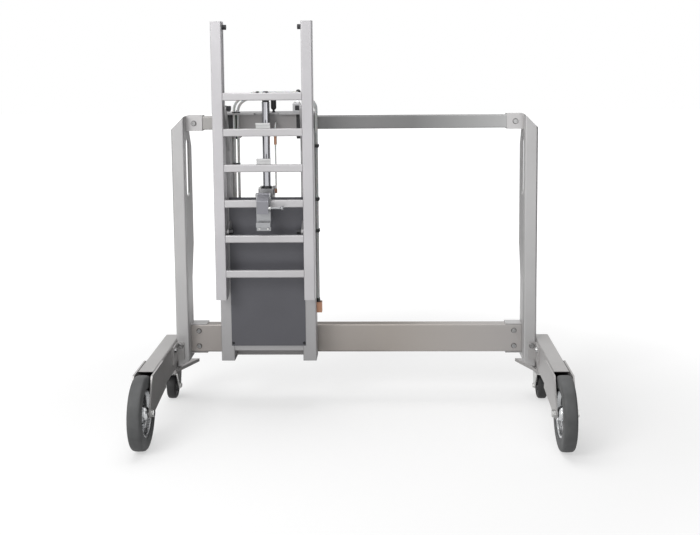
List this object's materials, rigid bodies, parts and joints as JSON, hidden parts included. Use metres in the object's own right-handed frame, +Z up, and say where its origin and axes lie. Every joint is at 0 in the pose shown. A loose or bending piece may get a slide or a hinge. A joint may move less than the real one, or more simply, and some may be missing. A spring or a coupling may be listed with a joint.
{
  "type": "drum depalletizer",
  "caption": "Wheeled portal frame with a sliding pneumatic mast and a rim gripper that lifts drums off a pallet.",
  "frame": {"origin": "on the floor, at the middle of the machine's bounding box", "axes": "+Z up, -Y towards the drum, +X to the right as seen from the drum"},
  "size_m": [1.532, 0.764, 1.46],
  "materials": {
    "post_paint": "satin",
    "frame_paint": "satin",
    "zinc": "satin",
    "rubber_grey": "matte",
    "black_oxide": "satin",
    "rim_metal": "satin",
    "caster_rubber": "matte",
    "mast_alloy": "satin",
    "black_plastic": "matte",
    "cover_black": "satin",
    "roller_plastic": "matte",
    "cylinder_alloy": "satin",
    "hose_clear": "gloss",
    "brass": "satin",
    "lift_steel": "satin",
    "rod_chrome": "polished",
    "grip_steel": "satin"
  },
  "bodies": {
    "frame": {"left_post": "post_paint", "right_post": "post_paint", "left_grip_plate": "post_paint", "right_grip_plate": "post_paint", "top_beam": "frame_paint", "bottom_beam": "frame_paint", "beam_sockets": "frame_paint", "left_leg": "frame_paint", "right_leg": "frame_paint", "wheel_forks": "frame_paint", "leg_angles": "frame_paint", "frame_bolts": "zinc", "caster_mounts": "frame_paint", "front_axles": "zinc"},
    "carriage": {"left_mast_upright": "mast_alloy", "right_mast_upright": "mast_alloy", "top_plate": "mast_alloy", "cross_plates": "mast_alloy", "upper_slide_blocks": "black_plastic", "lower_slide_blocks": "black_plastic", "mast_foot": "mast_alloy", "mast_cover": "cover_black", "carriage_screws": "black_oxide", "guide_lugs": "black_oxide", "roller_axles": "black_oxide", "cylinder_ends": "cylinder_alloy", "cylinder_barrel": "cylinder_alloy", "tie_rods": "zinc", "air_hoses": "hose_clear", "hose_holders": "black_plastic", "air_fittings": "brass", "head_tube": "hose_clear", "silencer": "black_plastic", "valve_body": "cylinder_alloy"},
    "lift": {"left_lift_rail": "lift_steel", "right_lift_rail": "lift_steel", "lift_rungs": "lift_steel", "rung_seats": "lift_steel", "rod_bracket": "lift_steel", "piston_rod": "rod_chrome", "gripper_body": "grip_steel", "lift_fasteners": "black_oxide"},
    "jaw": {"upper_jaw": "grip_steel", "release_lever": "grip_steel"},
    "valve_handle": {"valve_lever": "cylinder_alloy", "valve_knob": "black_plastic"},
    "left_wheel": {"left_tyre": "rubber_grey", "left_rim": "rim_metal"},
    "left_caster": {"left_caster_fork": "zinc"},
    "left_caster_roll": {"left_caster_wheel": "caster_rubber"},
    "left_pedal": {"left_brake_pedal": "zinc"},
    "upper_left_guide": {"upper_left_roller": "roller_plastic"},
    "lower_left_guide": {"lower_left_roller": "roller_plastic"},
    "right_wheel": {"right_tyre": "rubber_grey", "right_rim": "rim_metal"},
    "right_caster": {"right_caster_fork": "zinc"},
    "right_caster_roll": {"right_caster_wheel": "caster_rubber"},
    "right_pedal": {"right_brake_pedal": "zinc"},
    "upper_right_guide": {"upper_right_roller": "roller_plastic"},
    "lower_right_guide": {"lower_right_roller": "roller_plastic"}
  },
  "joints": [
    {"name": "carriage_traverse", "type": "slide", "parent": "frame", "child": "carriage", "axis": [1, 0, 0], "range_m": [-0.07, 0.72]},
    {"name": "lift_travel", "type": "slide", "parent": "carriage", "child": "lift", "axis": [0, 0, 1], "range_m": [-0.265, 0.17]},
    {"name": "jaw_swing", "type": "hinge", "parent": "lift", "child": "jaw", "pos_m": [-0.326, 0.078, 0.8308], "axis": [-1, 0, 0], "range_deg": [0, 45]},
    {"name": "valve_tilt", "type": "hinge", "parent": "carriage", "child": "valve_handle", "pos_m": [-0.216, 0.309, 1.146], "axis": [1, 0, 0], "range_deg": [-15, 15], "stiffness_Nm_per_rad": 1},
    {"name": "left_wheel_spin", "type": "hinge", "parent": "frame", "child": "left_wheel", "pos_m": [-0.72, -0.255, 0.127], "axis": [1, 0, 0], "continuous": true},
    {"name": "left_caster_swivel", "type": "hinge", "parent": "frame", "child": "left_caster", "pos_m": [-0.72, 0.262, 0.116], "axis": [0, 0, 1], "continuous": true},
    {"name": "left_caster_spin", "type": "hinge", "parent": "left_caster", "child": "left_caster_roll", "pos_m": [-0.72, 0.292, 0.05], "axis": [1, 0, 0], "continuous": true},
    {"name": "left_brake_press", "type": "hinge", "parent": "left_caster", "child": "left_pedal", "pos_m": [-0.72, 0.312, 0.104], "axis": [-1, 0, 0], "range_deg": [0, 15]},
    {"name": "upper_left_roll", "type": "hinge", "parent": "carriage", "child": "upper_left_guide", "pos_m": [-0.489, 0.11, 1.146], "axis": [1, 0, 0], "continuous": true},
    {"name": "lower_left_roll", "type": "hinge", "parent": "carriage", "child": "lower_left_guide", "pos_m": [-0.489, 0.11, 0.69], "axis": [1, 0, 0], "continuous": true},
    {"name": "right_wheel_spin", "type": "hinge", "parent": "frame", "child": "right_wheel", "pos_m": [0.72, -0.255, 0.127], "axis": [1, 0, 0], "continuous": true},
    {"name": "right_caster_swivel", "type": "hinge", "parent": "frame", "child": "right_caster", "pos_m": [0.72, 0.262, 0.116], "axis": [0, 0, 1], "continuous": true},
    {"name": "right_caster_spin", "type": "hinge", "parent": "right_caster", "child": "right_caster_roll", "pos_m": [0.72, 0.292, 0.05], "axis": [1, 0, 0], "continuous": true},
    {"name": "right_brake_press", "type": "hinge", "parent": "right_caster", "child": "right_pedal", "pos_m": [0.72, 0.312, 0.104], "axis": [-1, 0, 0], "range_deg": [0, 15]},
    {"name": "upper_right_roll", "type": "hinge", "parent": "carriage", "child": "upper_right_guide", "pos_m": [-0.163, 0.11, 1.146], "axis": [1, 0, 0], "continuous": true},
    {"name": "lower_right_roll", "type": "hinge", "parent": "carriage", "child": "lower_right_guide", "pos_m": [-0.163, 0.11, 0.69], "axis": [1, 0, 0], "continuous": true}
  ],
  "couplings": [
    {"joint": "upper_left_roll", "follows": "lift_travel", "rad_per_m": 38.91},
    {"joint": "lower_left_roll", "follows": "lift_travel", "rad_per_m": -38.91},
    {"joint": "upper_right_roll", "follows": "lift_travel", "rad_per_m": 38.91},
    {"joint": "lower_right_roll", "follows": "lift_travel", "rad_per_m": -38.91}
  ]
}
